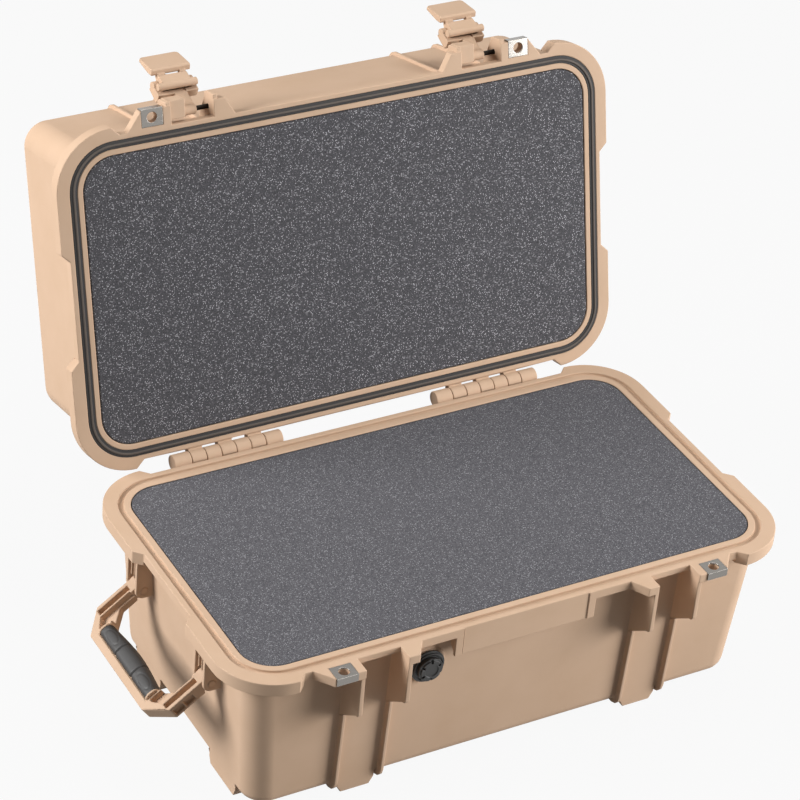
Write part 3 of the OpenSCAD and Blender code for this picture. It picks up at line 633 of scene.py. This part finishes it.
class CASE_OT_handles(bpy.types.Operator):
    """Make the handle frames, grips and collars and finish their pins"""

    bl_idname = "case.handles"
    bl_label = "End handles"

    # A grip in its handle's own frame: x out from the pivot, y along the grip, z through its thickness.
    # The right handle hangs straight down, so the box of its packed grip gives the grip's sizes.
    low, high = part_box("handle_grip_right")
    half_long = (high.y - low.y) / 2
    half_thick = (high.x - low.x) / 2
    half_wide = 6.45 * MM
    palm_gap = 0.05 * MM
    middle_x = JOINTS["right_handle_swing"]["pos_m"][2] - high.z + palm_gap + half_wide

    # Power that squares the section's corners, where 1 would leave an ellipse
    corner = 0.75
    # The swell runs out at this share of the grip's half length, and falls off by this power
    swell_reach = 1.06
    swell_fall = 1.5
    groove_half = 0.75 * MM
    # An oval line is centred off the section's middle, toward the palm. Its width is a share of the oval's
    # radius, and the outer side of the section has none past the last share of its half width.
    oval_half_long = 9.5 * MM
    oval_half_wide = 4.2 * MM
    oval_off = -1.2 * MM
    oval_line = 0.1
    oval_side = 0.9
    # The skin draws in by this much over the last stretch at each end
    end_draw = 0.8 * MM
    end_run = 1.5 * MM
    # Shares of a collar's radius: how far its middle lies past the grip's end, and how deep its ring is sunk
    collar_off = 0.2
    collar_sink = 0.25
    collar_steps = 8
    rings = 180
    around = 72

    def place(self, side):
        """From a handle's own frame to its rest place."""
        joint = JOINTS[f"{side}_handle_swing"]
        # At its first limit a handle hangs straight down, a quarter turn from level
        turn = Matrix.Rotation(math.radians(90 + joint["range_deg"][0]), 4, "Y")
        flip = Matrix.Diagonal((-1 if side == "left" else 1, 1, 1, 1))
        return Matrix.Translation(Vector(joint["pos_m"])) @ flip @ turn

    def section(self, angle, y, grow):
        """A point of the grip's skin: a soft-cornered section that swells toward the palm."""
        sizes = bpy.context.scene.case_sizes
        c, s = math.cos(angle), math.sin(angle)
        x = self.half_wide * math.copysign(abs(c) ** self.corner, c)
        z = self.half_thick * math.copysign(abs(s) ** self.corner, s)
        if x < 0:
            bow = math.cos(math.pi / 2 * y / (self.half_long * self.swell_reach)) ** self.swell_fall
            x -= sizes.grip_swell * bow * (-x / self.half_wide)
        sink = 0.0
        for groove in (-self.half_long / 3, self.half_long / 3):
            sink = max(sink, sizes.grip_groove * math.exp(-(((y - groove) / self.groove_half) ** 2)))
        for oval in (-2 * self.half_long / 3, 2 * self.half_long / 3):
            if x < self.half_wide * self.oval_side:
                along, up = (y - oval) / self.oval_half_long, (x - self.oval_off) / self.oval_half_wide
                reach = math.hypot(along, up)
                sink = max(sink, sizes.grip_oval * math.exp(-(((reach - 1) / self.oval_line) ** 2)))
        away = Vector((x, z)).normalized()
        return Vector((self.middle_x + x + away.x * (grow - sink), y, z + away.y * (grow - sink)))

    def tube(self, side, stations, grow):
        """A skin through the given stations along the grip, closed at both ends."""
        bm = bmesh.new()
        order = bm.verts.layers.int.new("order")
        made = bmesh.ops.create_circle(bm, segments=self.around, radius=self.half_wide, cap_ends=False)
        loop = made["verts"]
        for k, v in enumerate(loop):
            v[order] = k
        edges = list(bm.edges)
        for i, (y, extra) in enumerate(zip(stations, grow)):
            if i:
                made = bmesh.ops.extrude_edge_only(bm, edges=edges)["geom"]
                edges = [g for g in made if isinstance(g, bmesh.types.BMEdge)]
                loop = [g for g in made if isinstance(g, bmesh.types.BMVert)]
                loop.sort(key=lambda v: v[order])
            for k, v in enumerate(loop):
                v.co = self.section(2 * math.pi * k / self.around, y, extra)
        bmesh.ops.holes_fill(bm, edges=bm.edges)
        bmesh.ops.transform(bm, matrix=self.place(side), verts=bm.verts)
        bmesh.ops.recalc_face_normals(bm, faces=bm.faces)
        return bm

    def grip(self, side, body):
        """A grip's rubber skin, drawn in at both ends."""
        stations = [self.half_long * (2 * i / self.rings - 1) for i in range(self.rings + 1)]
        near = [max(0, 1 - (self.half_long - abs(y)) / self.end_run) for y in stations]
        grow = [-self.end_draw * share**2 for share in near]
        put(
            "handle_grip_skin_" + side, self.tube(side, stations, grow), grip_rubber(), body, "grip",
            "handle_grip_" + side,
        )

    def collars(self, side, body):
        """A rounded ring at each end of a grip."""
        radius = bpy.context.scene.case_sizes.collar_round
        arc = [math.pi * i / self.collar_steps for i in range(self.collar_steps + 1)]
        bulge = [radius * (math.sin(a) - self.collar_sink) for a in arc]
        for end, where in ((-1, "front"), (1, "rear")):
            ring = [end * (self.half_long + radius * (math.cos(a) + self.collar_off)) for a in arc]
            bm = self.tube(side, ring, bulge)
            put(f"grip_collar_{side}_{where}", bm, tan_polypropylene(), body, "tan_shell")

    def execute(self, context):
        for side in SIDES:
            body = f"{side}_handle"
            moulding("handle_frame_" + side, context.scene.case_sizes.handle_round, tan_polypropylene())
            self.grip(side, body)
            self.collars(side, body)
            dress("handle_pins_" + side, pin_steel())
        return {"FINISHED"}


class CASE_OT_valve(bpy.types.Operator):
    """Make the pressure valve"""

    bl_idname = "case.valve"
    bl_label = "Valve"

    def execute(self, context):
        for node in ("valve_body", "valve_cap"):
            moulding(node, context.scene.case_sizes.valve_round, black_nylon())
        dress("valve_nut", black_nylon())
        dress("valve_seal", seal_rubber())
        return {"FINISHED"}


class CASE_OT_stage(bpy.types.Operator):
    """Make the floor, the lamps and the camera"""

    bl_idname = "case.stage"
    bl_label = "Stage"

    # Each lamp's name, place, width and power setting, and the point that all of them face
    lamps = (
        ("left soft box", (-2.3, 0.75, 1.35), 1.2, "left_power"),
        ("top soft box", (0.5, 0.0, 2.6), 1.2, "top_power"),
        ("right front lamp", (1.8, -1.3, 0.75), 1.4, "front_power"),
    )
    aim = Vector((0, 0.05, 0.2))
    # The floor lies just under the feet, so that no two faces meet in one plane
    floor_half = 6
    floor_drop = 0.2 * MM
    # Tone that the lamps light, and the share of plain white where the floor is seen
    floor_tone = 0.25
    floor_white = 0.93
    sensor_mm = 36
    clip_near = 0.05
    clip_far = 50

    def lamp(self, name, place, width, watts):
        """A square soft box."""
        data = bpy.data.lights.new(name, "AREA")
        data.shape = "SQUARE"
        data.size = width
        data.energy = watts
        made = bpy.data.objects.new(name, data)
        made.location = place
        made.rotation_euler = (self.aim - Vector(place)).to_track_quat("-Z", "Y").to_euler()
        bpy.context.scene.collection.objects.link(made)

    def seen(self, tree):
        """1 for rays that come straight from the camera, a reflection or glass."""
        path = add(tree, "ShaderNodeLightPath")
        part = add(
            tree, "ShaderNodeMath", {"operation": "MAXIMUM"},
            {0: path.outputs["Is Camera Ray"], 1: path.outputs["Is Glossy Ray"]},
        )
        return add(
            tree, "ShaderNodeMath", {"operation": "MAXIMUM"},
            {0: part.outputs["Value"], 1: path.outputs["Is Transmission Ray"]},
        ).outputs["Value"]

    def floor(self):
        """A wide floor of white paper: nearly white to the eye, with the case's soft shadow."""
        made, tree = material("Paper, white")
        bm = bmesh.new()
        bmesh.ops.create_grid(bm, x_segments=1, y_segments=1, size=self.floor_half)
        bmesh.ops.translate(bm, vec=(0, 0, -self.floor_drop), verts=bm.verts)
        mesh = bpy.data.meshes.new("floor")
        bm.to_mesh(mesh)
        bm.free()
        mesh.materials.append(made)
        floor = bpy.data.objects.new("floor", mesh)
        bpy.context.scene.collection.objects.link(floor)
        matt = add(tree, "ShaderNodeBsdfDiffuse", {"Color": (*[self.floor_tone] * 3, 1)})
        glow = add(tree, "ShaderNodeEmission", {"Color": (1, 1, 1, 1), "Strength": 1.0})
        share = add(
            tree, "ShaderNodeMath", {"operation": "MULTIPLY", 1: self.floor_white}, {0: self.seen(tree)}
        )
        mixed = add(
            tree, "ShaderNodeMixShader", None,
            {0: share.outputs["Value"], 1: matt.outputs["BSDF"], 2: glow.outputs["Emission"]},
        )
        add(tree, "ShaderNodeOutputMaterial", None, {"Surface": mixed.outputs["Shader"]})

    def world(self, ambient):
        """Even light from all round, white where it is seen."""
        world = bpy.data.worlds.new("Studio")
        bpy.context.scene.world = world
        world.use_nodes = True
        tree = world.node_tree
        tree.nodes.clear()
        strength = add(
            tree, "ShaderNodeMapRange", {"To Min": ambient, "To Max": 1.0}, {"Value": self.seen(tree)}
        )
        light = add(
            tree, "ShaderNodeBackground", {"Color": (1, 1, 1, 1)}, {"Strength": strength.outputs["Result"]}
        )
        add(tree, "ShaderNodeOutputWorld", None, {"Surface": light.outputs["Background"]})

    def camera(self, stage):
        """The photograph's view."""
        ahead, up = Vector(stage.camera_ahead).normalized(), Vector(stage.camera_up).normalized()
        right = ahead.cross(up).normalized()
        up = right.cross(ahead)
        data = bpy.data.cameras.new("camera")
        data.sensor_width = self.sensor_mm
        data.lens = stage.lens
        data.clip_start = self.clip_near
        data.clip_end = self.clip_far
        made = bpy.data.objects.new("camera", data)
        turn = Matrix((right, up, -ahead)).transposed().to_4x4()
        made.matrix_world = Matrix.Translation(stage.camera_place) @ turn
        bpy.context.scene.collection.objects.link(made)
        bpy.context.scene.camera = made

    def execute(self, context):
        stage = context.scene.case_stage
        context.scene.view_settings.view_transform = "Standard"
        self.camera(stage)
        self.world(stage.ambient)
        self.floor()
        for name, place, width, setting in self.lamps:
            self.lamp(name, place, width, getattr(stage, setting))
        return {"FINISHED"}


PIECES = (
    CASE_OT_stage, CASE_OT_shells, CASE_OT_foam, CASE_OT_seal, CASE_OT_hinges, CASE_OT_latches,
    CASE_OT_guards, CASE_OT_handles, CASE_OT_valve,
)
GROUPS = {"case_finish": CaseFinish, "case_sizes": CaseSizes, "case_stage": CaseStage}


class CASE_PT_build(bpy.types.Panel):
    """Lists the case's operators and settings"""

    bl_label = "Hard equipment case"
    bl_space_type = "VIEW_3D"
    bl_region_type = "UI"
    bl_category = "Case"

    def draw(self, context):
        for piece in PIECES:
            self.layout.operator(piece.bl_idname)
        for name, group in GROUPS.items():
            box = self.layout.box()
            for key in group.__annotations__:
                box.prop(getattr(context.scene, name), key)


def register():
    """Adds the case's settings, operators and panel."""
    for group in GROUPS.values():
        bpy.utils.register_class(group)
    for name, group in GROUPS.items():
        setattr(bpy.types.Scene, name, PointerProperty(type=group))
    for item in (*PIECES, CASE_PT_build):
        bpy.utils.register_class(item)


def unregister():
    """Takes them away again."""
    for item in reversed((*PIECES, CASE_PT_build)):
        bpy.utils.unregister_class(item)
    for name, group in GROUPS.items():
        delattr(bpy.types.Scene, name)
        bpy.utils.unregister_class(group)


def main():
    """Makes every piece and the stage."""
    register()
    for piece in PIECES:
        group, name = piece.bl_idname.split(".")
        getattr(getattr(bpy.ops, group), name)()


if __name__ == "__main__":
    main()
